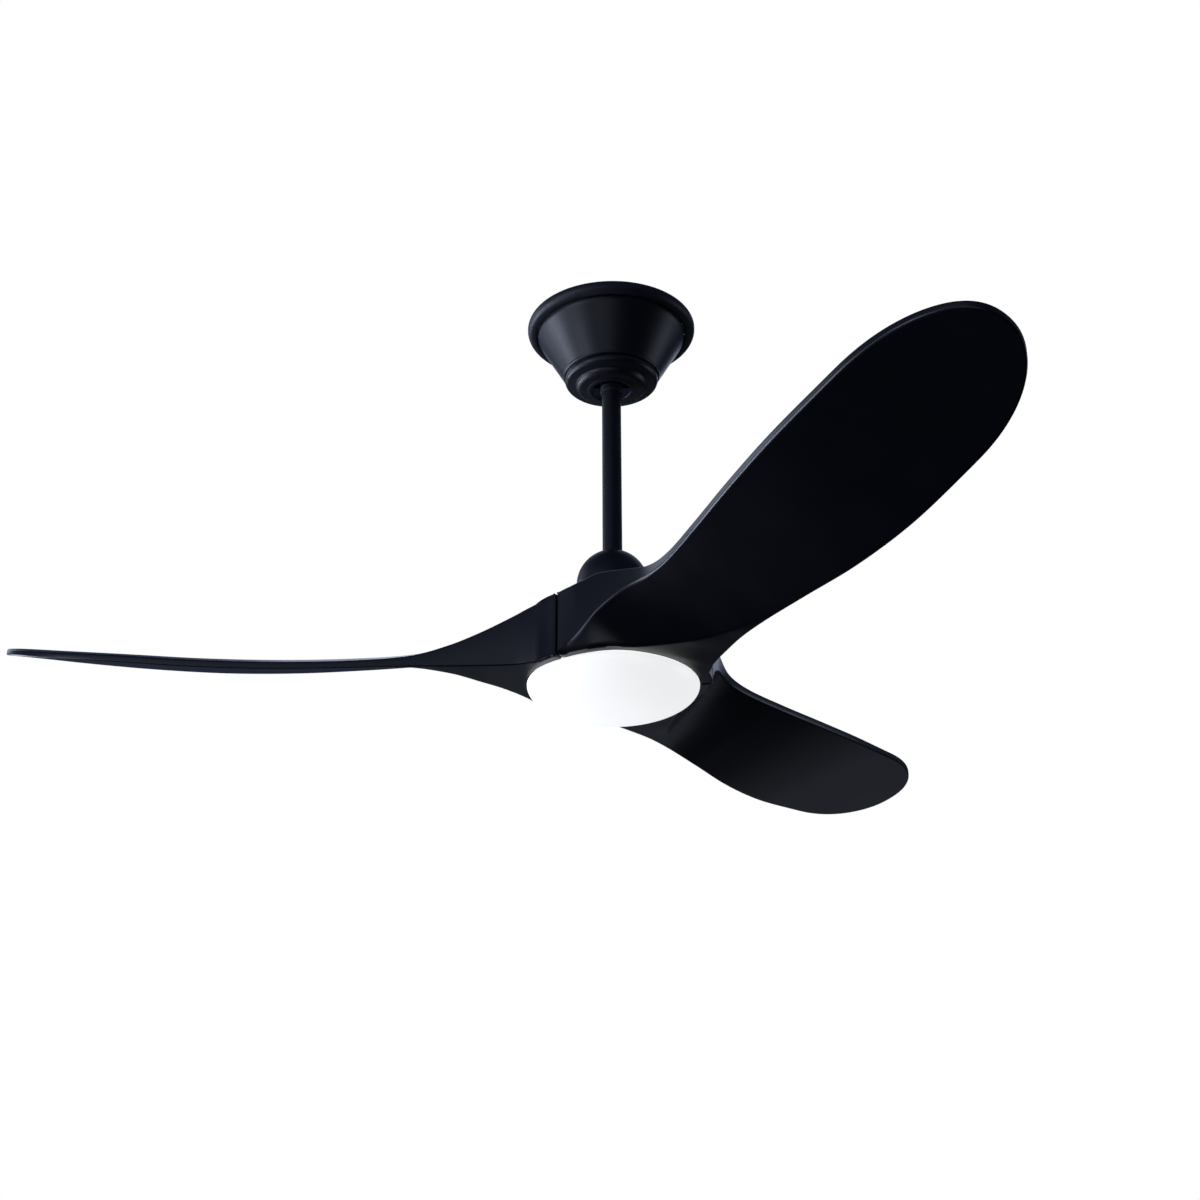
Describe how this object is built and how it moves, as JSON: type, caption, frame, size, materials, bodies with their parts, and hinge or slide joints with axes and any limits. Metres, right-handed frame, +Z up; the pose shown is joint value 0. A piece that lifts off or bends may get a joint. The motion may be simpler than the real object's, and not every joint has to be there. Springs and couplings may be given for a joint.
{
  "type": "ceiling fan with light",
  "caption": "Ceiling fan with swept, twisted paddle blades, a down rod, a bell canopy and a domed opal light.",
  "frame": {"origin": "middle of the hanger bracket's ceiling face, on the fan's axis", "axes": "+Z up along the fan's axis into the ceiling; +X along the bracket's two slots"},
  "size_m": [1.0436, 1.1517, 0.473],
  "materials": {
    "black_paint": "satin black powder coat",
    "blade_plastic": "matte black moulded resin",
    "zinc_steel": "zinc-plated pressed steel",
    "black_screw": "black-oxide screw steel",
    "bright_steel": "ground steel shaft and pins",
    "black_nylon": "moulded black nylon",
    "sleeve_rubber": "soft black rubber",
    "receiver_plastic": "grained black ABS",
    "lead_insulation": "soft PVC insulation",
    "cap_plastic": "orange moulded caps",
    "electrical_steel": "stacked silicon-steel laminations",
    "copper_wire": "enamelled copper windings",
    "ferrite": "dark sintered ferrite",
    "bearing_steel": "polished bearing steel",
    "cage_nylon": "natural nylon",
    "board_mask": "white solder mask on aluminium",
    "led_phosphor": "yellow phosphor over small emitters",
    "terminal_plastic": "white nylon terminal",
    "opal_diffuser": "opal white acrylic"
  },
  "bodies": {
    "root": {"hanger_bracket": "black_paint", "canopy": "black_paint", "canopy_trim_ring": "black_paint", "canopy_screws": "black_screw", "remote_receiver": "receiver_plastic", "receiver_leads": "lead_insulation", "wire_connectors": "cap_plastic"},
    "hanger": {"hanger_ball": "black_nylon", "ball_cross_pin": "bright_steel", "ball_set_screw": "zinc_steel", "rod_sleeve": "sleeve_rubber", "downrod": "black_paint", "motor_yoke": "black_paint", "clevis_pin": "bright_steel", "hairpin_clip": "zinc_steel", "yoke_set_screws": "zinc_steel", "lead_wires": "lead_insulation", "motor_shaft": "bright_steel", "stator_core": "electrical_steel", "stator_coils": "copper_wire", "upper_bearing_inner_race": "bearing_steel", "lower_bearing_inner_race": "bearing_steel", "light_pan": "zinc_steel", "shaft_nut": "zinc_steel", "led_board": "board_mask", "led_chips": "led_phosphor", "board_screws": "zinc_steel", "light_terminal": "terminal_plastic"},
    "cover": {"coupling_cover": "black_paint"},
    "rotor": {"upper_bearing_outer_race": "bearing_steel", "lower_bearing_outer_race": "bearing_steel", "flux_ring": "electrical_steel", "magnets": "ferrite", "motor_housing_upper": "black_paint", "motor_housing_lower": "black_paint", "housing_screws": "black_screw", "blade_1": "blade_plastic", "blade_2": "blade_plastic", "blade_3": "blade_plastic", "blade_screws": "black_screw"},
    "upper_bearing_train": {"upper_bearing_balls": "bearing_steel", "upper_bearing_cage": "cage_nylon"},
    "lower_bearing_train": {"lower_bearing_balls": "bearing_steel", "lower_bearing_cage": "cage_nylon"},
    "lens": {"light_lens": "opal_diffuser"}
  },
  "joints": [
    {"name": "hanger_swing", "type": "hinge", "parent": "root", "child": "hanger", "pos_m": [0, 0, -0.056], "axis": [1, 0, 0], "range_deg": [-12, 12]},
    {"name": "cover_slide", "type": "slide", "parent": "hanger", "child": "cover", "axis": [0, 0, 1], "range_m": [0, 0.15]},
    {"name": "fan_spin", "type": "hinge", "parent": "hanger", "child": "rotor", "pos_m": [0, 0, -0.38], "axis": [0, 0, 1], "continuous": true},
    {"name": "upper_bearing_spin", "type": "hinge", "parent": "hanger", "child": "upper_bearing_train", "pos_m": [0, 0, -0.349], "axis": [0, 0, 1], "continuous": true},
    {"name": "lower_bearing_spin", "type": "hinge", "parent": "hanger", "child": "lower_bearing_train", "pos_m": [0, 0, -0.412], "axis": [0, 0, 1], "continuous": true},
    {"name": "lens_twist", "type": "hinge", "parent": "hanger", "child": "lens", "pos_m": [0, 0, -0.437], "axis": [0, 0, 1], "range_deg": [0, 20]}
  ],
  "couplings": [
    {"joint": "upper_bearing_spin", "follows": "fan_spin", "ratio": 0.5915},
    {"joint": "lower_bearing_spin", "follows": "fan_spin", "ratio": 0.5915}
  ]
}
